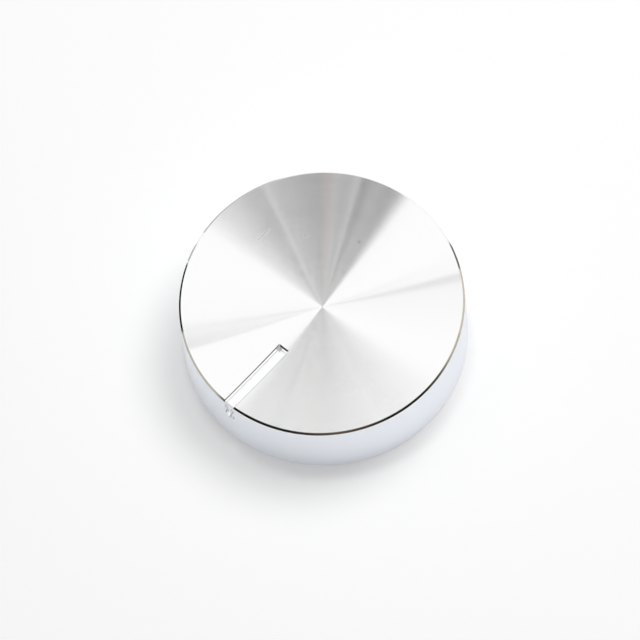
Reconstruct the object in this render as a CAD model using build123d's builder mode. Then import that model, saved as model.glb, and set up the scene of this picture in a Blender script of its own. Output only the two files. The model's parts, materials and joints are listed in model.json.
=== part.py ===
from build123d import *
import math
import os

# Turned aluminium control knob: a low straight-sided disc with a dished face, a bright rim chamfer and a milled
# pointer slot. The knob stands on its underside, its axis is +Z, and the pointer faces -Y. Millimetres.

# Turned body
knob_diameter = 40.0
knob_height = 11.5
dish_depth = 1.6  # from the rim down to the middle of the face
rim_chamfer = 0.3
foot_chamfer = 0.3

# Pointer slot in the face, and the flute that carries it down the side
slot_width = 1.6
slot_depth = 1.15  # below the dished face, all along the slot
slot_inner_radius = 8.4  # from the knob's axis to the slot's inner end
slot_corner_radius = 0.3
flute_depth = 0.5  # into the side
flute_length = 3.8  # from the rim down to the middle of the round end

# Underside: recess over the panel nut, then the blind bore for the shaft
shaft_diameter = 6.0
shaft_clearance = 0.05  # on the radius
bore_depth = 7.7  # from the underside
bore_lead_in = 0.3
recess_diameter = 18.0
recess_depth = 2.5
recess_chamfer = 0.3

# Set screw, in a radial tapped hole opposite the pointer
screw_diameter = 3.0
screw_length = 6.0
screw_thread_clearance = 0.03  # on the radius, in place of the thread
screw_shaft_gap = 0.3  # from the screw's tip to the bore's wall, so that a shaft can enter
screw_tip_diameter = 2.0
screw_tip_length = 0.7
screw_edge_chamfer = 0.25
hex_across_flats = 1.5
hex_depth = 2.0
screw_hole_chamfer = 0.25

# Sizes that follow from those above
knob_radius = knob_diameter / 2
face_radius = knob_radius - rim_chamfer
dish_radius = (face_radius**2 + dish_depth**2) / (2 * dish_depth)
dish_centre_height = knob_height - dish_depth + dish_radius
slot_floor_radius = dish_radius + slot_depth
flute_end_height = knob_height - flute_length
bore_radius = shaft_diameter / 2 + shaft_clearance
recess_radius = recess_diameter / 2
bore_mouth_height = recess_depth + bore_lead_in
screw_height = (bore_mouth_height + bore_depth) / 2
screw_radius = screw_diameter / 2
screw_hole_radius = screw_radius + screw_thread_clearance
screw_tip_distance = bore_radius + screw_shaft_gap
screw_head_distance = screw_tip_distance + screw_length
outside = knob_radius + slot_width  # past the side, where the cutters start


def slot_floor_height(radius):
    """Height of the slot's floor at a distance from the axis: an arc with the dish's own centre."""
    return dish_centre_height - math.sqrt(slot_floor_radius**2 - radius**2)


# Knob body: the whole section turned about the axis, then the milled and drilled features
with BuildPart() as knob_body:
    with BuildSketch(Plane.XZ):
        with BuildLine():
            Polyline(
                (0, knob_height - dish_depth),
                (0, bore_depth),
                (bore_radius, bore_depth),
                (bore_radius, bore_mouth_height),
                (bore_radius + bore_lead_in, recess_depth),
                (recess_radius, recess_depth),
                (recess_radius, recess_chamfer),
                (recess_radius + recess_chamfer, 0),
                (knob_radius - foot_chamfer, 0),
                (knob_radius, foot_chamfer),
                (knob_radius, knob_height - rim_chamfer),
                (face_radius, knob_height),
            )
            RadiusArc((face_radius, knob_height), (0, knob_height - dish_depth), dish_radius)
        make_face()
    revolve(axis=Axis.Z)

    # Pointer slot: its floor keeps one depth below the dish
    with BuildSketch(Plane.YZ):
        with BuildLine():
            Polyline(
                (-slot_inner_radius, slot_floor_height(slot_inner_radius)),
                (-slot_inner_radius, knob_height),
                (-outside, knob_height),
                (-outside, slot_floor_height(outside)),
            )
            RadiusArc(
                (-slot_inner_radius, slot_floor_height(slot_inner_radius)),
                (-outside, slot_floor_height(outside)),
                slot_floor_radius,
            )
        make_face()
    extrude(amount=slot_width / 2, both=True, mode=Mode.SUBTRACT)
    inner_corners = edges(Select.LAST).filter_by(Axis.Z).group_by(Axis.Y)[-1]
    fillet(inner_corners, radius=slot_corner_radius)

    # Flute: a flat-floored cut with a half-round lower end, sunk into the side below the slot's mouth
    with BuildSketch(Plane.XZ.offset(knob_radius - flute_depth)):
        with Locations((0, flute_end_height)):
            Circle(slot_width / 2)
            Rectangle(slot_width, flute_length, align=(Align.CENTER, Align.MIN))
    extrude(amount=outside - knob_radius + flute_depth, mode=Mode.SUBTRACT)

    # Tapped hole for the set screw, from the side into the bore
    with BuildSketch(Plane.XZ.offset(-knob_radius)):
        with Locations((0, screw_height)):
            Circle(screw_hole_radius)
    extrude(amount=knob_radius, mode=Mode.SUBTRACT)
    hole_mouth = edges(Select.LAST).group_by(Axis.Y)[-1]
    chamfer(hole_mouth, length=screw_hole_chamfer)

# Set screw: hex socket outwards, flat-ended dog point towards the shaft
with BuildPart() as grub_screw:
    with BuildSketch(Plane.XZ.offset(-screw_tip_distance)):
        with Locations((0, screw_height)):
            Circle(screw_radius)
    extrude(amount=-screw_length)
    ends = grub_screw.faces().sort_by(Axis.Y)
    chamfer(ends[-1].edges(), length=screw_edge_chamfer)
    chamfer(ends[0].edges(), length=screw_tip_length, length2=screw_radius - screw_tip_diameter / 2)
    with BuildSketch(Plane.XZ.offset(-screw_head_distance)):
        with Locations((0, screw_height)):
            RegularPolygon(hex_across_flats / 2, side_count=6, major_radius=False)
    extrude(amount=hex_depth, mode=Mode.SUBTRACT)

os.makedirs("parts", exist_ok=True)
for piece, name in ((knob_body, "knob_body"), (grub_screw, "grub_screw")):
    piece.part.label = name
    export_step(piece.part, f"parts/{name}.step")
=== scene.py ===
# %% [markdown]
# A turned aluminium control knob
#
# The knob is one piece of aluminium from a lathe, with a milled pointer slot, and a set screw that grips the
# shaft. Its looks come from the finishes on the same metal: a spun face, a mirror-cut rim, a satin side and
# plain machined hidden faces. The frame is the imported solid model, so every size here is that model's own.

# %% Load the frame
import bmesh
import bpy
import json
import math
from mathutils import Matrix, Vector


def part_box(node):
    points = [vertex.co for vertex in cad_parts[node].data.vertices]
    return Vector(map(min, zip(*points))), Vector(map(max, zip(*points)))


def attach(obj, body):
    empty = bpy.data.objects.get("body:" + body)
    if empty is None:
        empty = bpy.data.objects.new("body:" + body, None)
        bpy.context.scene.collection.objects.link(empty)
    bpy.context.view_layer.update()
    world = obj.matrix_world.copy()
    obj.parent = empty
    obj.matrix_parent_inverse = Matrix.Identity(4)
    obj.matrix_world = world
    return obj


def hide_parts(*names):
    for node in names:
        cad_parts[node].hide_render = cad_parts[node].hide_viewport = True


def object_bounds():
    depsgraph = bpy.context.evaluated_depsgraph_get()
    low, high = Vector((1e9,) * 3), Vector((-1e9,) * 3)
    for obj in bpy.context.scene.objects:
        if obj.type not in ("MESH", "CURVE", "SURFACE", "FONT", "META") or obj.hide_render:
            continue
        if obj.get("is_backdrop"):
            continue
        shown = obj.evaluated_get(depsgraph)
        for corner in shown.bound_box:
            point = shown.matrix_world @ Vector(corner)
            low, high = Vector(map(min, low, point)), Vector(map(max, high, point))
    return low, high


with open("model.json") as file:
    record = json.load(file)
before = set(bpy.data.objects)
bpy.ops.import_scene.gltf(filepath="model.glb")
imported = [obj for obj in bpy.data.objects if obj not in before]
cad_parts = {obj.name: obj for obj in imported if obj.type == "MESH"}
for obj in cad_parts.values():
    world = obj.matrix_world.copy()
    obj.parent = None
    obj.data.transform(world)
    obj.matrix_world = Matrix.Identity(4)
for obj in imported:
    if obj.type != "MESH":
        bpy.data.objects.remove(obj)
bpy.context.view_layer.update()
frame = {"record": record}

MM = 0.001

# %% [markdown]
# Sizes
#
# The outer sizes and the bores are read from the frame. The rest repeats the driving sizes of the solid, so
# that the mesh made here lies on the solid that it stands for. Only the tiny edge breaks and fillets are
# added, and the slot's inner corners are tighter than the solid's.

# %% Sizes of the knob
body_low, body_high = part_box("knob_body")
screw_low, screw_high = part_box("grub_screw")
mounts = {mount["name"]: mount for mount in frame["record"]["mounts"]}

KNOB_RADIUS = body_high.x
KNOB_HEIGHT = body_high.z
BORE_RADIUS = mounts["shaft_bore"]["dims"]["r_mm"] * MM
BORE_TOP = mounts["shaft_bore"]["pos_m"][2] + mounts["shaft_bore"]["dims"]["length_mm"] * MM / 2
RECESS_RADIUS = mounts["nut_recess"]["dims"]["r_mm"] * MM
RECESS_TOP = mounts["nut_recess"]["pos_m"][2] + mounts["nut_recess"]["dims"]["length_mm"] * MM / 2

DISH_DEPTH = 1.6 * MM
RIM_CHAMFER = 0.3 * MM
FOOT_CHAMFER = 0.3 * MM
MOUTH_CHAMFER = 0.3 * MM  # at the mouths of the recess and the bore
EDGE_ROUND = 0.03 * MM  # no machined edge is perfectly sharp
NEAR = 0.004 * MM  # two places closer than this count as one
SEAM = 0.0005 * MM  # two points closer than this are joined
SLOT_WIDTH = 1.6 * MM
SLOT_DEPTH = 1.15 * MM
SLOT_INNER_RADIUS = 8.4 * MM
SLOT_CORNER = 0.15 * MM
SLOT_EDGE_BREAK = 0.11 * MM
SLOT_END_BREAK = 0.10 * MM  # added at the inner end
SLOT_FILLET = 0.08 * MM  # between the slot's walls and its floor
FLUTE_DEPTH = 0.5 * MM
FLUTE_LENGTH = 3.8 * MM

FACE_RADIUS = KNOB_RADIUS - RIM_CHAMFER
DISH_RADIUS = (FACE_RADIUS**2 + DISH_DEPTH**2) / (2 * DISH_DEPTH)
DISH_CENTRE = KNOB_HEIGHT - DISH_DEPTH + DISH_RADIUS
print("radius", round(KNOB_RADIUS / MM, 3), "height", round(KNOB_HEIGHT / MM, 3))
print("dish radius", round(DISH_RADIUS / MM, 2))

# %% [markdown]
# Drawing an outline with the extrude and spin tools
#
# A lathe part starts as half of its section. By hand you would collapse a plane to one point, extrude that
# point from corner to corner, and use Spin for the arcs. These helpers do the same steps. Everything is
# deselected first, because operators act on all that is selected.


# %% Outline helpers
def begin_outline(name, place):
    """A new object whose mesh is one selected point, left in edit mode."""
    bpy.ops.object.select_all(action="DESELECT")
    bpy.ops.mesh.primitive_plane_add(size=MM)
    piece = bpy.context.object
    piece.name = name
    bpy.ops.object.mode_set(mode="EDIT")
    bpy.ops.mesh.select_mode(type="VERT")
    bpy.ops.mesh.select_all(action="SELECT")
    bpy.ops.mesh.merge(type="CENTER")
    bpy.ops.transform.translate(value=place)
    return piece


def pen_place():
    """Where the selected end of the outline is."""
    mesh = bmesh.from_edit_mesh(bpy.context.object.data)
    return next(point.co.copy() for point in mesh.verts if point.select)


def line_to(*place):
    """Extrudes the selected point to a new place."""
    bpy.ops.mesh.extrude_region_move(TRANSFORM_OT_translate={"value": Vector(place) - pen_place()})


def select_where(piece, test, kind="verts"):
    """Selects the vertices, edges or faces of the mesh in edit mode that pass a test."""
    bpy.ops.mesh.select_mode(type={"verts": "VERT", "edges": "EDGE", "faces": "FACE"}[kind])
    bpy.ops.mesh.select_all(action="DESELECT")
    mesh = bmesh.from_edit_mesh(piece.data)
    count = 0
    for part in getattr(mesh, kind):
        if test(part):
            part.select_set(True)
            count += 1
    mesh.select_flush_mode()
    bmesh.update_edit_mesh(piece.data)
    return count


def is_corner(point, least=math.radians(20)):
    """True where an outline turns by more than a small angle."""
    if len(point.link_edges) != 2:
        return False
    ways = [(edge.other_vert(point).co - point.co).normalized() for edge in point.link_edges]
    return ways[0].angle(-ways[1]) > least


def turn_outline(steps):
    """Spins the whole outline once about +Z, then closes the seam and points the faces outwards."""
    bpy.ops.mesh.select_all(action="SELECT")
    bpy.ops.mesh.spin(steps=steps, angle=math.tau, center=(0, 0, 0), axis=(0, 0, 1))
    bpy.ops.mesh.select_all(action="SELECT")
    bpy.ops.mesh.remove_doubles(threshold=SEAM)
    bpy.ops.mesh.normals_make_consistent(inside=False)
    bpy.ops.object.mode_set(mode="OBJECT")


def report(piece):
    """Prints a mesh's size, and whether it is closed."""
    mesh = bmesh.new()
    mesh.from_mesh(piece.data)
    open_edges = sum(not edge.is_manifold for edge in mesh.edges)
    volume = round(mesh.calc_volume() / MM**3, 2)
    print(piece.name, "faces", len(mesh.faces), "open edges", open_edges, "mm3", volume)
    mesh.free()


# %% [markdown]
# The turned body
#
# The section runs from the middle of the dished face out to the rim, down the side, in along the underside
# and up into the blind bore. The dish is an arc about a point far above the knob, so it is a spin of one
# point. A small bevel on each corner of the outline rounds the edges before the section is turned, in fine
# steps, because a polished rim shows every facet.

# %% Turn the body
DISH_STEPS = 48
TURN_STEPS = 360

knob = begin_outline("turned_knob", (0, 0, KNOB_HEIGHT - DISH_DEPTH))
bpy.ops.mesh.spin(
    steps=DISH_STEPS, angle=math.asin(FACE_RADIUS / DISH_RADIUS), center=(0, 0, DISH_CENTRE), axis=(0, 1, 0)
)
for radius, height in (
    (KNOB_RADIUS, KNOB_HEIGHT - RIM_CHAMFER),
    (KNOB_RADIUS, FOOT_CHAMFER),
    (KNOB_RADIUS - FOOT_CHAMFER, 0),
    (RECESS_RADIUS + MOUTH_CHAMFER, 0),
    (RECESS_RADIUS, MOUTH_CHAMFER),
    (RECESS_RADIUS, RECESS_TOP),
    (BORE_RADIUS + MOUTH_CHAMFER, RECESS_TOP),
    (BORE_RADIUS, RECESS_TOP + MOUTH_CHAMFER),
    (BORE_RADIUS, BORE_TOP),
    (0, BORE_TOP),
):
    line_to(radius, 0, height)
corners = select_where(knob, is_corner)
bpy.ops.mesh.bevel(offset=EDGE_ROUND, segments=3, affect="VERTICES")
turn_outline(TURN_STEPS)
print("rounded corners", corners)
report(knob)

# %% [markdown]
# Cutters for the pointer slot and the flute
#
# On the real knob a mill follows the dish from mid-radius out through the rim, so the slot keeps one depth.
# Here the slot's cross-section is drawn once and spun about the dish's own centre, which gives a cutter with
# that same curve. Its upper edges flare a little, as a deburred edge does. The flute carries the slot a short
# way down the side. It is cut by an end mill that points at the axis, so it has a flat floor and a half-round
# lower end.

# %% Slot cutter
SLOT_STEPS = 32
CUT_ABOVE = 0.6 * MM  # how far a cutter stands above the face
PAST_SIDE = 1.5 * MM  # how far it runs out past the side

face_height = KNOB_HEIGHT - DISH_DEPTH
slot_floor = face_height - SLOT_DEPTH
half_width = SLOT_WIDTH / 2
flare = half_width + SLOT_EDGE_BREAK + CUT_ABOVE
slot_start = math.asin(SLOT_INNER_RADIUS / (DISH_RADIUS + SLOT_DEPTH))
slot_end = math.asin((KNOB_RADIUS + PAST_SIDE) / (DISH_RADIUS + SLOT_DEPTH))

slot_cutter = begin_outline("slot_cutter", (-half_width, 0, slot_floor))
for across, height in (
    (half_width, slot_floor),
    (half_width, face_height - SLOT_EDGE_BREAK),
    (flare, face_height + CUT_ABOVE),
    (-flare, face_height + CUT_ABOVE),
    (-half_width, face_height - SLOT_EDGE_BREAK),
):
    line_to(across, 0, height)
bpy.ops.mesh.select_all(action="SELECT")
bpy.ops.mesh.edge_face_add()
dish_middle = (0, 0, DISH_CENTRE)
bpy.ops.transform.rotate(value=slot_start, orient_axis="X", center_override=dish_middle)
bpy.ops.mesh.spin(steps=SLOT_STEPS, angle=slot_end - slot_start, center=dish_middle, axis=(1, 0, 0))
bpy.ops.mesh.select_all(action="SELECT")
bpy.ops.mesh.normals_make_consistent(inside=False)
print("slot from", round(math.degrees(slot_start), 1), "to", round(math.degrees(slot_end), 1), "degrees")

# %% Inner end of the slot


def at_inner_end(point):
    """True for the points of the slot cutter's inner end."""
    return point.co.y > -SLOT_INNER_RADIUS - SLOT_CORNER


def at_shoulder(point):
    """True for the two points of the inner end where the flare starts."""
    on_wall = abs(abs(point.co.x) - half_width) < NEAR
    return at_inner_end(point) and on_wall and point.co.z > slot_floor + SLOT_DEPTH / 2


def is_inner_corner(edge):
    """True for the edges that climb the two corners of the inner end."""
    low, high = edge.verts
    return at_inner_end(low) and at_inner_end(high) and low.co.x * high.co.x > 0


def is_floor_edge(edge):
    """True for the edges between the slot's floor and its walls."""
    downwards = sorted(face.normal.z for face in edge.link_faces)
    return downwards[0] < -0.9 and downwards[-1] > -0.5


shoulders = select_where(slot_cutter, at_shoulder)
bpy.ops.mesh.vert_connect()
bpy.ops.transform.translate(value=(0, 0, -SLOT_END_BREAK))
select_where(slot_cutter, lambda point: at_inner_end(point) and abs(point.co.x) > half_width + NEAR)
bpy.ops.transform.translate(value=(0, flare - half_width + SLOT_END_BREAK, 0))
corners = select_where(slot_cutter, is_inner_corner, "edges")
bpy.ops.mesh.bevel(offset=SLOT_CORNER, segments=5)
floor_edges = select_where(slot_cutter, is_floor_edge, "edges")
bpy.ops.mesh.bevel(offset=SLOT_FILLET, segments=3)
bpy.ops.object.mode_set(mode="OBJECT")
print("shoulders", shoulders, "corner edges", corners, "floor edges", floor_edges)
report(slot_cutter)

# %% Flute cutter
NOSE_STEPS = 32

flute_floor = -(KNOB_RADIUS - FLUTE_DEPTH)
flute_end = KNOB_HEIGHT - FLUTE_LENGTH
nose_centre = (0, flute_floor, flute_end)
flute_cutter = begin_outline("flute_cutter", (-half_width, flute_floor, flute_end))
bpy.ops.mesh.spin(steps=NOSE_STEPS, angle=math.pi, center=nose_centre, axis=(0, 1, 0))
line_to(half_width, flute_floor, KNOB_HEIGHT + CUT_ABOVE)
line_to(-half_width, flute_floor, KNOB_HEIGHT + CUT_ABOVE)
bpy.ops.mesh.select_all(action="SELECT")
bpy.ops.mesh.edge_face_add()
bpy.ops.mesh.extrude_region_move(TRANSFORM_OT_translate={"value": (0, -FLUTE_DEPTH - PAST_SIDE, 0)})
bpy.ops.mesh.select_all(action="SELECT")
bpy.ops.mesh.normals_make_consistent(inside=False)
bpy.ops.object.mode_set(mode="OBJECT")
report(flute_cutter)

# %% [markdown]
# Threads
#
# The set screw and its hole have an M3 thread. A rod with many rings is made first, and then each point is
# moved in by its place along the helix, which is quick and leaves a closed mesh. The same helper makes the
# screw's own thread and the cutter for the tapped hole.

# %% Threaded rod helper
PITCH = 0.5 * MM
THREAD_DEPTH = 0.27 * MM
FLANK_SLOPE = 2.5
CREST_LIFT = 1.25  # over 1, so that the crest is cut off flat
RINGS_PER_PITCH = 8
ROD_SIDES = 48
SCREW_RADIUS = screw_high.x
SCREW_HEIGHT = (screw_low.z + screw_high.z) / 2


def thread_height(turns):
    """Height of the thread from 0 at its root to 1 at its crest, for a place along the helix in turns."""
    return min(1, max(0, CREST_LIFT - FLANK_SLOPE * abs(turns % 1 - 0.5)))


def threaded_rod(name, crest_radius, start, end):
    """A rod along +Y from start to end, with a helical thread that fades out at both ends."""
    bpy.ops.object.select_all(action="DESELECT")
    middle = (0, (start + end) / 2, SCREW_HEIGHT)
    bpy.ops.mesh.primitive_cylinder_add(
        vertices=ROD_SIDES,
        radius=crest_radius,
        depth=end - start,
        location=middle,
        rotation=(math.pi / 2, 0, 0),
    )
    rod = bpy.context.object
    rod.name = name
    bpy.ops.object.transform_apply(location=True, rotation=True, scale=True)
    bpy.ops.object.mode_set(mode="EDIT")
    for cuts in (round((end - start) / PITCH) - 1, RINGS_PER_PITCH - 1):
        select_where(rod, lambda edge: abs(edge.verts[0].co.y - edge.verts[1].co.y) > PITCH / 2, "edges")
        bpy.ops.mesh.subdivide(number_cuts=cuts)
    mesh = bmesh.from_edit_mesh(rod.data)
    for point in mesh.verts:
        out = Vector((point.co.x, 0, point.co.z - SCREW_HEIGHT))
        turns = point.co.y / PITCH + math.atan2(out.z, out.x) / math.tau
        whole = min(1, (point.co.y - start) / PITCH, (end - point.co.y) / PITCH)
        depth = THREAD_DEPTH * (1 - whole * thread_height(turns))
        point.co -= out.normalized() * depth
    bmesh.update_edit_mesh(rod.data)
    bpy.ops.object.mode_set(mode="OBJECT")
    return rod


# %% Tapped hole cutter
hole_cutter = threaded_rod("hole_cutter", SCREW_RADIUS, BORE_RADIUS / 2, KNOB_RADIUS + PITCH)
report(hole_cutter)

# %% Countersink cutter
HOLE_CHAMFER = 0.25 * MM  # how much wider than the screw the hole is at the side

bpy.ops.object.select_all(action="DESELECT")
bpy.ops.mesh.primitive_cone_add(
    vertices=ROD_SIDES,
    radius1=SCREW_RADIUS - HOLE_CHAMFER,
    radius2=SCREW_RADIUS + 3 * HOLE_CHAMFER,
    depth=4 * HOLE_CHAMFER,
    location=(0, KNOB_RADIUS, SCREW_HEIGHT),
    rotation=(-math.pi / 2, 0, 0),
)
countersink = bpy.context.object
countersink.name = "countersink_cutter"
bpy.ops.object.transform_apply(location=True, rotation=True, scale=True)
report(countersink)

# %% [markdown]
# Cutting and shading
#
# Boolean modifiers take the cutters out of the body, as the mill and the tap do. After that, edges under 30
# degrees are shaded smooth, and a Weighted Normal modifier lets the large faces set the shading, so that the
# thin rounded edges don't bend the reflections of the side and the face. The modifier can't tell areas this
# small apart, so the piece is made a thousand times larger for that step.

# %% Cut the body
SMOOTH_BELOW = math.radians(30)


def cut(piece, cutter):
    """Takes one mesh out of another, then deletes the cutter."""
    bpy.ops.object.select_all(action="DESELECT")
    piece.select_set(True)
    bpy.context.view_layer.objects.active = piece
    difference = piece.modifiers.new("cut", "BOOLEAN")
    difference.operation = "DIFFERENCE"
    difference.solver = "EXACT"
    difference.object = cutter
    bpy.ops.object.modifier_apply(modifier=difference.name)
    bpy.data.objects.remove(cutter)


def shade(piece):
    """Smooth shading below an angle, weighted by face size, stored in the mesh."""
    bpy.ops.object.select_all(action="DESELECT")
    piece.select_set(True)
    bpy.context.view_layer.objects.active = piece
    bpy.ops.object.shade_smooth_by_angle(angle=SMOOTH_BELOW)
    bpy.ops.transform.resize(value=(1 / MM,) * 3, center_override=(0, 0, 0))
    bpy.ops.object.transform_apply(location=True, rotation=True, scale=True)
    weighted = piece.modifiers.new("weighted", "WEIGHTED_NORMAL")
    weighted.keep_sharp = True
    weighted.weight = 100
    bpy.ops.object.modifier_apply(modifier=weighted.name)
    bpy.ops.transform.resize(value=(MM,) * 3, center_override=(0, 0, 0))
    bpy.ops.object.transform_apply(location=True, rotation=True, scale=True)


for cutter in (slot_cutter, flute_cutter, hole_cutter, countersink):
    cut(knob, cutter)
    report(knob)
shade(knob)

# %% [markdown]
# The set screw
#
# A headless screw with a hex socket, which holds the knob on its shaft. It uses the same helix as the hole, a
# little smaller, so the two threads fit without touching. Its point is an inset and an extruded face, and the
# socket is a six-sided cutter with a cone at its end, as a drilled and broached socket has.

# %% Set screw
THREAD_GAP = 0.03 * MM
POINT_LENGTH = 0.7 * MM
POINT_RADIUS = 1.0 * MM

root_radius = SCREW_RADIUS - THREAD_GAP - THREAD_DEPTH
set_screw = threaded_rod("set_screw", SCREW_RADIUS - THREAD_GAP, screw_low.y + POINT_LENGTH, screw_high.y)
bpy.ops.object.mode_set(mode="EDIT")
select_where(set_screw, lambda face: face.normal.y < -0.9 and len(face.verts) > 4, "faces")
bpy.ops.mesh.inset(thickness=root_radius - POINT_RADIUS - EDGE_ROUND)
bpy.ops.mesh.extrude_region_move(TRANSFORM_OT_translate={"value": (0, -POINT_LENGTH, 0)})
bpy.ops.mesh.bevel(offset=3 * EDGE_ROUND, segments=3)
bpy.ops.object.mode_set(mode="OBJECT")
report(set_screw)

# %% Hex socket
SOCKET_ACROSS = 1.5 * MM
SOCKET_DEPTH = 2.0 * MM

socket_radius = SOCKET_ACROSS / 2 / math.cos(math.pi / 6)
bpy.ops.object.select_all(action="DESELECT")
bpy.ops.mesh.primitive_cylinder_add(
    vertices=6,
    radius=socket_radius,
    depth=2 * SOCKET_DEPTH,
    location=(0, screw_high.y, SCREW_HEIGHT),
    rotation=(math.pi / 2, 0, 0),
)
socket_cutter = bpy.context.object
bpy.ops.object.transform_apply(location=True, rotation=True, scale=True)
bpy.ops.object.mode_set(mode="EDIT")
select_where(socket_cutter, lambda face: face.normal.y < -0.9, "faces")
bpy.ops.mesh.extrude_region_move(TRANSFORM_OT_translate={"value": (0, -socket_radius / 2, 0)})
bpy.ops.mesh.merge(type="CENTER")
bpy.ops.object.mode_set(mode="OBJECT")
cut(set_screw, socket_cutter)
report(set_screw)
shade(set_screw)

# %% [markdown]
# Shared shader groups
#
# Tool marks are fine random ridges along one direction. The group takes a place along that direction, and leans
# the surface's normal by smooth noise of that place, so one group serves rings on the face, lines on the side
# and lines in the slot. Handling is faint and slow: a group of soft patches that make some areas a little
# duller. A few helpers come first, because every node tree below is drawn with them.

# %% Shader helpers
FLOAT = "NodeSocketFloat"
VECTOR = "NodeSocketVector"


def add_node(tree, kind, inputs=(), **settings):
    """A node with settings, and with sockets given as values or as links."""
    node = tree.nodes.new(kind)
    for name, value in settings.items():
        setattr(node, name, value)
    for socket, value in dict(inputs).items():
        if isinstance(value, bpy.types.NodeSocket):
            tree.links.new(value, node.inputs[socket])
        else:
            node.inputs[socket].default_value = value
    return node


def calc(tree, operation, first, second=0.0, clamp=False):
    """The result of a Math node."""
    inputs = {0: first, 1: second}
    return add_node(tree, "ShaderNodeMath", inputs, operation=operation, use_clamp=clamp).outputs[0]


def vector_calc(tree, operation, first, second=(0, 0, 0)):
    """The result of a Vector Math node, which is a number for lengths and products."""
    node = add_node(tree, "ShaderNodeVectorMath", {0: first, 1: second}, operation=operation)
    return node.outputs["Value" if operation in ("LENGTH", "DISTANCE", "DOT_PRODUCT") else "Vector"]


def scaled(tree, vector, factor):
    """A vector times a number."""
    return add_node(tree, "ShaderNodeVectorMath", {0: vector, "Scale": factor}, operation="SCALE").outputs[0]


def map_range(tree, value, start, end, least=0.0, most=1.0):
    """Least where the value is at the start, most where it is at the end, and even steps between."""
    inputs = {"Value": value, "From Min": start, "From Max": end, "To Min": least, "To Max": most}
    return add_node(tree, "ShaderNodeMapRange", inputs).outputs[0]


def mix(tree, share, first, second):
    """A colour that goes from the first to the second."""
    inputs = {"Factor": share, "A": first, "B": second}
    return add_node(tree, "ShaderNodeMix", inputs, data_type="RGBA").outputs["Result"]


def new_group(name, inputs, outputs):
    """A shader node group with its sockets, and its two end nodes."""
    group = bpy.data.node_groups.new(name, "ShaderNodeTree")
    for direction, sockets in (("INPUT", inputs), ("OUTPUT", outputs)):
        for label, kind in sockets.items():
            group.interface.new_socket(label, in_out=direction, socket_type=kind)
    return group, add_node(group, "NodeGroupInput"), add_node(group, "NodeGroupOutput")


def new_material(name, constants):
    """A material and its shader, with constants on the shader's own sockets."""
    material = bpy.data.materials.new(name)
    material.use_nodes = True
    shader = material.node_tree.nodes["Principled BSDF"]
    for socket, value in constants.items():
        shader.inputs[socket].default_value = value
    return material, shader


# %% Tool marks group
tool_marks, entry, leave = new_group(
    "tool_marks", {"Place": FLOAT, "Way": VECTOR, "Pitch": FLOAT, "Lean": FLOAT}, {"Normal": VECTOR}
)
steps = calc(tool_marks, "DIVIDE", entry.outputs["Place"], entry.outputs["Pitch"])
ridges = add_node(
    tool_marks,
    "ShaderNodeTexNoise",
    {"W": steps, "Scale": 1.0, "Detail": 1.0, "Roughness": 0.5},
    noise_dimensions="1D",
)
centred = calc(tool_marks, "SUBTRACT", ridges.outputs[0], 0.5)
lean = calc(tool_marks, "MULTIPLY", centred, entry.outputs["Lean"])
sideways = scaled(tool_marks, entry.outputs["Way"], lean)
geometry = add_node(tool_marks, "ShaderNodeNewGeometry")
leaning = vector_calc(tool_marks, "ADD", geometry.outputs["Normal"], sideways)
tool_marks.links.new(vector_calc(tool_marks, "NORMALIZE", leaning), leave.inputs["Normal"])
print("group", tool_marks.name, "nodes", len(tool_marks.nodes))

# %% Handling group
PATCH_SCALE = 160.0  # patches about 6 mm across

handling, entry, leave = new_group("handling", {"Least": FLOAT, "Most": FLOAT}, {"Value": FLOAT})
places = add_node(handling, "ShaderNodeTexCoord")
patches = add_node(
    handling,
    "ShaderNodeTexNoise",
    {"Vector": places.outputs["Object"], "Scale": PATCH_SCALE, "Detail": 4.0, "Roughness": 0.6},
)
worn = map_range(handling, patches.outputs[0], 0.35, 0.7, entry.outputs["Least"], entry.outputs["Most"])
handling.links.new(worn, leave.inputs["Value"])
print("group", handling.name, "nodes", len(handling.nodes))

# %% [markdown]
# Six finishes of one metal, and the screw's steel
#
# The body's finishes are one bright aluminium, told apart by their tool marks and their roughness, and a little
# by tone. Rings lie along the radius and lean the normal outwards and inwards. On the face they are much
# finer than a pixel, which is what draws the bright and dark wedges of a spun face. The rest of that stretch
# comes from the shader's own anisotropy, with a radial tangent.

# %% Finishes
ALUMINIUM = (0.92, 0.922, 0.92, 1)
BRIGHT = (0.96, 0.965, 0.97, 1)  # where a sharp mill has just cut
SATIN = (0.885, 0.91, 0.955, 1)
FACED = (0.8, 0.81, 0.82, 1)
TAPPED = (0.74, 0.75, 0.76, 1)
STEEL = (0.16, 0.16, 0.17, 1)


def new_metal(name, colour, along, pitch, lean, least, most):
    """A metal with tool marks along the radius or one axis, and roughness that varies with handling."""
    material, shader = new_material(name, {"Metallic": 1, "Base Color": colour})
    tree = material.node_tree
    place = add_node(tree, "ShaderNodeTexCoord").outputs["Object"]
    parts = add_node(tree, "ShaderNodeSeparateXYZ", {0: place})
    if along == "RADIUS":
        flat = add_node(tree, "ShaderNodeCombineXYZ", {"X": parts.outputs["X"], "Y": parts.outputs["Y"]})
        distance = vector_calc(tree, "LENGTH", flat.outputs[0])
        way = vector_calc(tree, "NORMALIZE", flat.outputs[0])
    else:
        distance = parts.outputs[along]
        way = tuple(float(axis == along) for axis in "XYZ")
    inputs = {"Place": distance, "Way": way, "Pitch": pitch * MM, "Lean": lean}
    marks = add_node(tree, "ShaderNodeGroup", inputs, node_tree=tool_marks)
    wear = add_node(tree, "ShaderNodeGroup", {"Least": least, "Most": most}, node_tree=handling)
    tree.links.new(marks.outputs["Normal"], shader.inputs["Normal"])
    tree.links.new(wear.outputs["Value"], shader.inputs["Roughness"])
    return material


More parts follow.
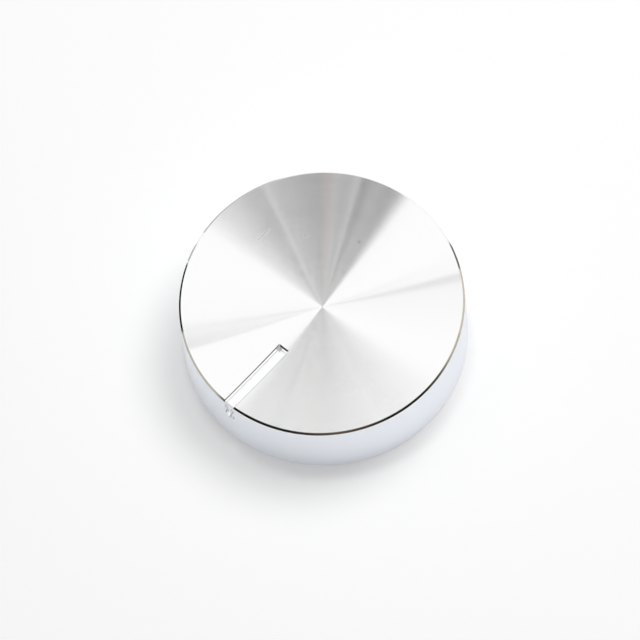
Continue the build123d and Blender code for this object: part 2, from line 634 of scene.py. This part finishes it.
finish_table = (  # colour, way across the tool marks, their pitch in mm, their lean, and the roughness range
    ("spun_face", ALUMINIUM, "RADIUS", 0.0015, 1.7, 0.09, 0.10),
    ("cut_rim", ALUMINIUM, "RADIUS", 0.1, 0.02, 0.04, 0.06),
    ("satin_side", SATIN, "Z", 0.06, 0.3, 0.48, 0.54),
    ("milled_slot", BRIGHT, "X", 0.06, 0.03, 0.08, 0.12),
    ("faced_base", FACED, "RADIUS", 0.12, 0.25, 0.25, 0.35),
    ("tapped_hole", TAPPED, "RADIUS", 0.05, 0.1, 0.3, 0.4),
)
finishes = {row[0]: new_metal(*row) for row in finish_table}
screw_steel = new_metal("screw_steel", STEEL, "Y", 0.05, 0.1, 0.32, 0.45)
print("finishes", sorted(finishes))

# %% Stretch the reflections across the rings
spun_tree = finishes["spun_face"].node_tree
spun_shader = spun_tree.nodes["Principled BSDF"]
tangent = add_node(spun_tree, "ShaderNodeTangent", direction_type="RADIAL", axis="Z")
spun_tree.links.new(tangent.outputs[0], spun_shader.inputs["Tangent"])
spun_shader.inputs["Anisotropic"].default_value = 1
spun_shader.inputs["Anisotropic Rotation"].default_value = 0.25  # a quarter turn, so across the rings
print("tangent", tangent.direction_type, tangent.axis)

# %% [markdown]
# Marks on the face
#
# A knob that has been handled has a few marks. Each is a short line from one place to another, or a dot where
# the two lie close together. A group measures how near a point is to that line, and the mark then makes the
# metal rougher, so that it shows light in a dark wedge, or darker.

# %% Mask of one mark
mark_mask, entry, leave = new_group(
    "mark_mask", {"Start": VECTOR, "End": VECTOR, "Width": FLOAT}, {"Value": FLOAT}
)
places = add_node(mark_mask, "ShaderNodeTexCoord")
flat = vector_calc(mark_mask, "MULTIPLY", places.outputs["Object"], (1, 1, 0))
to_point = vector_calc(mark_mask, "SUBTRACT", flat, entry.outputs["Start"])
to_end = vector_calc(mark_mask, "SUBTRACT", entry.outputs["End"], entry.outputs["Start"])
ahead = vector_calc(mark_mask, "DOT_PRODUCT", to_point, to_end)
whole = vector_calc(mark_mask, "DOT_PRODUCT", to_end, to_end)
share = calc(mark_mask, "DIVIDE", ahead, whole, clamp=True)
apart = vector_calc(mark_mask, "DISTANCE", to_point, scaled(mark_mask, to_end, share))
inside = map_range(mark_mask, apart, entry.outputs["Width"], 0.0)
mark_mask.links.new(inside, leave.inputs["Value"])
print("group", mark_mask.name, "nodes", len(mark_mask.nodes))

# %% Scratch, smudge and speck
MARK_ROUGHNESS = 0.6
DIRT = (0.1, 0.1, 0.1, 1)


def add_mark(start, end, width):
    """A mask for one mark on the face, from its two ends and its half width in millimetres."""
    inputs = {"Start": Vector((*start, 0)) * MM, "End": Vector((*end, 0)) * MM, "Width": width * MM}
    return add_node(spun_tree, "ShaderNodeGroup", inputs, node_tree=mark_mask).outputs["Value"]


scratch = add_mark((-13.29, 1.76), (-13.17, 4.20), 0.14)
smudge = add_mark((-8.80, 6.50), (-8.60, 6.80), 0.20)
speck = add_mark((-2.27, 10.56), (-2.25, 10.60), 0.16)
rubbed = calc(spun_tree, "MAXIMUM", scratch, smudge)
dulled = calc(spun_tree, "MULTIPLY", rubbed, MARK_ROUGHNESS)
worn = spun_shader.inputs["Roughness"].links[0].from_socket
spun_tree.links.new(calc(spun_tree, "MAXIMUM", worn, dulled), spun_shader.inputs["Roughness"])
spun_tree.links.new(mix(spun_tree, speck, ALUMINIUM, DIRT), spun_shader.inputs["Base Color"])
print("marks", sum(node.type == "GROUP" and node.node_tree == mark_mask for node in spun_tree.nodes))

# %% [markdown]
# Which face has which finish
#
# One mesh carries all six finishes. Each face is told by its place: how far it is from the axis, how high it
# is, and whether it lies on the dish. What is left over is the slot and the flute at the front, and the tapped
# hole at the back.

# %% Assign the finishes


def finish_of(face):
    """The finish of one face of the body, by its place."""
    place = face.calc_center_median()
    radius = math.hypot(place.x, place.y)
    rise = DISH_CENTRE - math.sqrt(DISH_RADIUS**2 - min(radius, FACE_RADIUS) ** 2)
    cone = radius + place.z - FACE_RADIUS - KNOB_HEIGHT
    edge = 2 * EDGE_ROUND
    on_chamfer = place.z > KNOB_HEIGHT - RIM_CHAMFER - edge and abs(cone) < edge
    at_foot = radius > KNOB_RADIUS - 2 * FOOT_CHAMFER and place.z < 2 * FOOT_CHAMFER
    in_bore = radius < BORE_RADIUS + NEAR and place.z < BORE_TOP + NEAR
    if radius < FACE_RADIUS - edge and abs(place.z - rise) < NEAR and face.normal.z > 0.9:
        return "spun_face"
    if on_chamfer and face.normal.z > 0.1:
        return "cut_rim"
    if abs(radius - KNOB_RADIUS) < NEAR or at_foot:
        return "satin_side"
    if place.z < RECESS_TOP + 2 * MOUTH_CHAMFER or in_bore:
        return "faced_base"
    return "milled_slot" if place.y < 0 else "tapped_hole"


for number, (name, material) in enumerate(finishes.items()):
    knob.data.materials.append(material)
    bpy.ops.object.select_all(action="DESELECT")
    bpy.context.view_layer.objects.active = knob
    bpy.ops.object.mode_set(mode="EDIT")
    count = select_where(knob, lambda face: finish_of(face) == name, "faces")
    knob.active_material_index = number
    bpy.ops.object.material_slot_assign()
    bpy.ops.object.mode_set(mode="OBJECT")
    print(name, "faces", count)
set_screw.data.materials.append(screw_steel)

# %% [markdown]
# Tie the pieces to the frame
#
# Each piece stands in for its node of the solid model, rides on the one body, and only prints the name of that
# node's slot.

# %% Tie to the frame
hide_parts("knob_body")
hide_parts("grub_screw")
for piece, slot in ((knob, "turned_aluminium"), (set_screw, "screw_steel")):
    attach(piece, "root")
    print(piece.name, "slot", slot)

# %% [markdown]
# Camera
#
# The camera stands far off with a long lens, as product cameras do, so the knob's rim is almost a true
# ellipse. The ellipse's height against its width gives the elevation, its lean gives the roll, and the slot
# gives the azimuth. The rim's radius and centre in pixels then set the lens and the aim.

# %% Camera
AZIMUTH = math.radians(47.4)
ELEVATION = math.radians(67.01)
ROLL = math.radians(-7.45)
DISTANCE = 2.0
SENSOR = 36  # millimetres, a full frame
PIXELS = 640
RADIUS_PIXELS = 143.38
RIM_PIXEL = (321.785, 302.355)

pixel = KNOB_RADIUS / RADIUS_PIXELS
back = Vector(
    (math.sin(AZIMUTH) * math.cos(ELEVATION), -math.cos(AZIMUTH) * math.cos(ELEVATION), math.sin(ELEVATION))
)
level = Vector((math.cos(AZIMUTH), math.sin(AZIMUTH), 0))
steep = back.cross(level)
right = level * math.cos(ROLL) + steep * math.sin(ROLL)
up = steep * math.cos(ROLL) - level * math.sin(ROLL)
aim = Vector((0, 0, KNOB_HEIGHT))
aim -= right * (RIM_PIXEL[0] - PIXELS / 2) * pixel
aim += up * (RIM_PIXEL[1] - PIXELS / 2) * pixel

bpy.ops.object.select_all(action="DESELECT")
bpy.ops.object.camera_add()
camera = bpy.context.object
camera.data.sensor_width = SENSOR
camera.data.lens = SENSOR * DISTANCE / (PIXELS * pixel)
camera.data.clip_start = DISTANCE / 10
camera.data.clip_end = DISTANCE * 10
camera.matrix_world = Matrix((right, up, back)).transposed().to_4x4()
camera.location = aim + back * DISTANCE
bpy.context.scene.camera = camera
print("lens", round(camera.data.lens, 1))

# %% [markdown]
# Floor
#
# A sheet of white paper. Under studio light alone its shadows come out too deep, because real paper is lit from
# the whole room. A little glow, seen only by the camera and in the metal, lifts them and doesn't light the knob
# twice.

# %% Floor
FLOOR_SIZE = 6
FLOOR_GAP = 0.01 * MM  # under the knob, so that the two don't share a plane
PAPER_LIFT = 0.2  # light that the paper adds for the camera and in the metal

bpy.ops.object.select_all(action="DESELECT")
bpy.ops.mesh.primitive_plane_add(size=FLOOR_SIZE, location=(0, 0, -FLOOR_GAP))
floor = bpy.context.object
floor.name = "floor"
floor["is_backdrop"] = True
paper, shader = new_material(
    "paper",
    {
        "Base Color": (0.8, 0.8, 0.8, 1),
        "Roughness": 1,
        "Specular IOR Level": 0,
        "Emission Color": (1, 1, 1, 1),
    },
)
tree = paper.node_tree
rays = add_node(tree, "ShaderNodeLightPath")
seen = calc(tree, "MAXIMUM", rays.outputs["Is Camera Ray"], rays.outputs["Is Glossy Ray"])
tree.links.new(calc(tree, "MULTIPLY", seen, PAPER_LIFT), shader.inputs["Emission Strength"])
floor.data.materials.append(paper)
print("floor", FLOOR_SIZE, "m across")

# %% [markdown]
# Studio light
#
# A spun face shows the room: along each radius it mirrors one straight fan of directions, and all fans meet at
# the direction that a plain mirror would show. So the studio is painted into the world as wedges about that
# direction: white boxes on both sides and behind, and a dark room in front. Edges of the boxes make the thin
# streaks. The dark room is darker close to the mirror direction than far from it.
#
# The polished rim looks lower, towards the horizon. A band there, black in front and wooden brown to the right,
# draws the rim's dark line, with white paper under it.

# %% The room in wedges and bands
WHITE = 1.07
wedges = (  # degrees round the mirror direction from the right, and the brightness close to it and far from it
    (0, WHITE, WHITE),
    (3, WHITE, 0.95),
    (12.5, 1.02, 0.38),
    (13.5, WHITE, WHITE),
    (44, WHITE, WHITE),
    (48, 0.985, 0.985),
    (82, 0.95, 0.95),
    (112, WHITE, WHITE),
    (150, WHITE, WHITE),
    (180, 1.0, 1.0),
    (184, 0.52, 0.92),
    (185.5, WHITE, WHITE),
    (224.5, WHITE, WHITE),
    (227, 0.60, 0.85),
    (230, 0.30, 0.40),
    (233, 0.24, 0.30),
    (240, 0.29, 0.42),
    (245.5, 0.09, 0.26),
    (247.5, 0.43, 0.58),
    (252, 0.25, 0.42),
    (256.5, 0.35, 0.52),
    (260, (0.33, 0.28, 0.27), (0.52, 0.46, 0.45)),
    (264.5, 0.19, 0.42),
    (270, 0.19, 0.50),
    (279, 0.26, 0.60),
    (284.5, 0.26, 0.68),
    (287, 0.46, 0.84),
    (289, 0.16, 0.66),
    (295, 0.21, 0.74),
    (300, 0.34, 0.85),
    (310, 0.61, 1.0),
    (318, WHITE, WHITE),
)
near_horizon = (  # degrees round the room from the right, the colour there, and how high it reaches
    (0, (0.62, 0.56, 0.48), 0.18),
    (25, (0.62, 0.57, 0.50), 0.05),
    (50, (0.9, 0.9, 0.9), 0.0),
    (110, (0.9, 0.9, 0.9), 0.0),
    (130, (0.01, 0.01, 0.01), 0.04),
    (157, (0.01, 0.01, 0.01), 0.04),
    (160, (0.50, 0.48, 0.42), 0.12),
    (168, (0.50, 0.48, 0.42), 0.20),
    (196, (0.50, 0.48, 0.42), 0.33),
    (203, (0.01, 0.01, 0.01), 0.38),
    (240, (0.015, 0.015, 0.01), 0.41),
    (270, (0.12, 0.085, 0.065), 0.41),
    (300, (0.02, 0.018, 0.01), 0.42),
    (322, (0.03, 0.028, 0.018), 0.39),
    (336, (0.11, 0.10, 0.065), 0.34),
    (350, (0.52, 0.45, 0.35), 0.27),
)
print("wedges", len(wedges), "bands", len(near_horizon))

# %% Ramps round the room


def light(value):
    """A colour from one brightness, or from three."""
    return (*value, 1) if isinstance(value, tuple) else (value, value, value, 1)


def round_ramp(tree, sideways, away, stops):
    """A colour ramp over the angle of two direction values, from 0 to 360 degrees."""
    turns = calc(tree, "DIVIDE", calc(tree, "ARCTAN2", away, sideways), math.tau)
    ramp = add_node(tree, "ShaderNodeValToRGB", {0: calc(tree, "FRACT", turns)})
    marks = ramp.color_ramp.elements
    while len(marks) < len(stops):
        marks.new(0.5)
    for mark, (degrees, colour) in zip(marks, stops):
        mark.position = degrees / 360
        mark.color = colour
    return ramp


# %% [markdown]
# Painting the room
#
# Each ramp gives the colour for a direction. The wedges are mixed by their distance from the mirror direction,
# the band lies under them, and the paper lies under the band. What lights the floor is the same room, but only
# from overhead, and the camera itself sees plain white.

# %% Paint the room
NEAR_SPREAD, FAR_SPREAD = 0.3, 0.6  # how far from the mirror direction the two brightnesses hold
BAND = 0.2  # how much of the height the dark band takes up
SOFT = 0.02  # how softly the band ends
OVERHEAD = 0.3, 0.95  # the heights between which the room begins to light the floor
PLAIN_WHITE = (1, 1, 1, 1)

world = bpy.data.worlds.new("studio")
bpy.context.scene.world = world
world.use_nodes = True
tree = world.node_tree
way = add_node(tree, "ShaderNodeTexCoord").outputs["Generated"]
turned = add_node(tree, "ShaderNodeVectorRotate", {"Vector": way, "Angle": -AZIMUTH}, rotation_type="Z_AXIS")
parts = add_node(tree, "ShaderNodeSeparateXYZ", {0: turned.outputs[0]})
sideways, away, height = parts.outputs
behind = calc(tree, "SUBTRACT", away, math.cos(ELEVATION))
offset = add_node(tree, "ShaderNodeCombineXYZ", {"X": sideways, "Y": behind})
spread = vector_calc(tree, "LENGTH", offset.outputs[0])
close_by = round_ramp(tree, sideways, behind, [(turn, light(near)) for turn, near, _ in wedges])
far_out = round_ramp(tree, sideways, behind, [(turn, light(far)) for turn, _, far in wedges])
far_share = map_range(tree, spread, NEAR_SPREAD, FAR_SPREAD)
high = mix(tree, far_share, close_by.outputs["Color"], far_out.outputs["Color"])
low = round_ramp(tree, sideways, away, [(turn, (*colour, reach)) for turn, colour, reach in near_horizon])
above = calc(tree, "SUBTRACT", height, low.outputs["Alpha"])
room = mix(tree, map_range(tree, above, -SOFT, SOFT), low.outputs["Color"], high)
room = mix(tree, map_range(tree, above, SOFT - BAND, -SOFT - BAND), room, PLAIN_WHITE)
falling = scaled(tree, room, map_range(tree, height, *OVERHEAD))
rays = add_node(tree, "ShaderNodeLightPath")
mirrored = mix(tree, rays.outputs["Is Glossy Ray"], falling, room)
shown = mix(tree, rays.outputs["Is Camera Ray"], mirrored, PLAIN_WHITE)
sky = tree.nodes["Background"]
tree.links.new(shown, sky.inputs["Color"])
sky.inputs["Strength"].default_value = 1
bpy.context.scene.view_settings.view_transform = "Standard"
print("world nodes", len(tree.nodes))

# %% [markdown]
# Lamps
#
# A wide soft lamp at the back right gives the shadow its direction. A smaller one, almost overhead and a little
# to the back, draws the narrow dark line where the knob's front meets the paper. Neither is seen in the metal,
# where the painted room already has its place.

# %% Lamps
LAMP_DISTANCE = 0.6


def add_lamp(name, turn, height, size, energy):
    """A round lamp that looks at the knob, from an angle round the camera's view and a height in degrees."""
    angle, rise = AZIMUTH + math.radians(turn), math.radians(height)
    outwards = Vector((math.cos(angle) * math.cos(rise), math.sin(angle) * math.cos(rise), math.sin(rise)))
    bpy.ops.object.select_all(action="DESELECT")
    bpy.ops.object.light_add(type="AREA", location=outwards * LAMP_DISTANCE)
    lamp = bpy.context.object
    lamp.name = name
    lamp.data.shape = "DISK"
    lamp.data.size = size
    lamp.data.energy = energy
    lamp.visible_glossy = False
    lamp.rotation_mode = "QUATERNION"
    lamp.rotation_quaternion = outwards.to_track_quat("Z", "Y")
    print(name, "lamp", energy, "W")


add_lamp("key", 40, 62, 0.35, 1.5)
add_lamp("top", 100, 82, 0.10, 0.55)

# %% [markdown]
# Cards
#
# Photographers stand strips of card just outside the picture to draw the edge of a shiny thing. These do that
# for the rim: black at the left, brown and taupe at the right, and two low grey strips behind. Only the metal
# mirrors them.

# %% Cards beside the knob
BLACK = (0.005, 0.005, 0.005, 1)
TAUPE = (0.62, 0.57, 0.50, 1)
BROWN = (0.16, 0.15, 0.12, 1)
GREY = (0.45, 0.45, 0.48, 1)


def add_card(name, turn, distance, width, height, colour):
    """An upright card on the floor, sizes in millimetres, that only the metal mirrors."""
    angle = AZIMUTH + math.radians(turn)
    bpy.ops.object.select_all(action="DESELECT")
    bpy.ops.mesh.primitive_plane_add(
        size=1,
        location=Vector((math.cos(angle) * distance, math.sin(angle) * distance, height / 2)) * MM,
        rotation=(math.pi / 2, 0, angle + math.pi / 2),
    )
    card = bpy.context.object
    card.name = name
    card.scale = (width * MM, height * MM, 1)
    card.visible_camera = card.visible_diffuse = card.visible_shadow = False
    card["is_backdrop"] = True
    # the card glows with its own colour and lights nothing: a painted reflection that only the metal shows
    glow = {
        "Base Color": (0, 0, 0, 1),
        "Specular IOR Level": 0,
        "Emission Color": colour,
        "Emission Strength": 1,
    }
    card.data.materials.append(new_material(name, glow)[0])
    print(name, width, "by", height, "mm")


add_card("black_card", 147, 80, 60, 12.8, BLACK)
add_card("light_card", 12, 115, 75, 20, TAUPE)
add_card("dark_card", 35, 100, 33, 20, BROWN)
add_card("near_strip", 105, 46, 40, 3, GREY)
add_card("far_strip", 124, 66, 34, 4, GREY)

# %% Sizes and the end
low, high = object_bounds()
print("scene box in mm:", [round(v / MM, 3) for v in (*low, *high)])
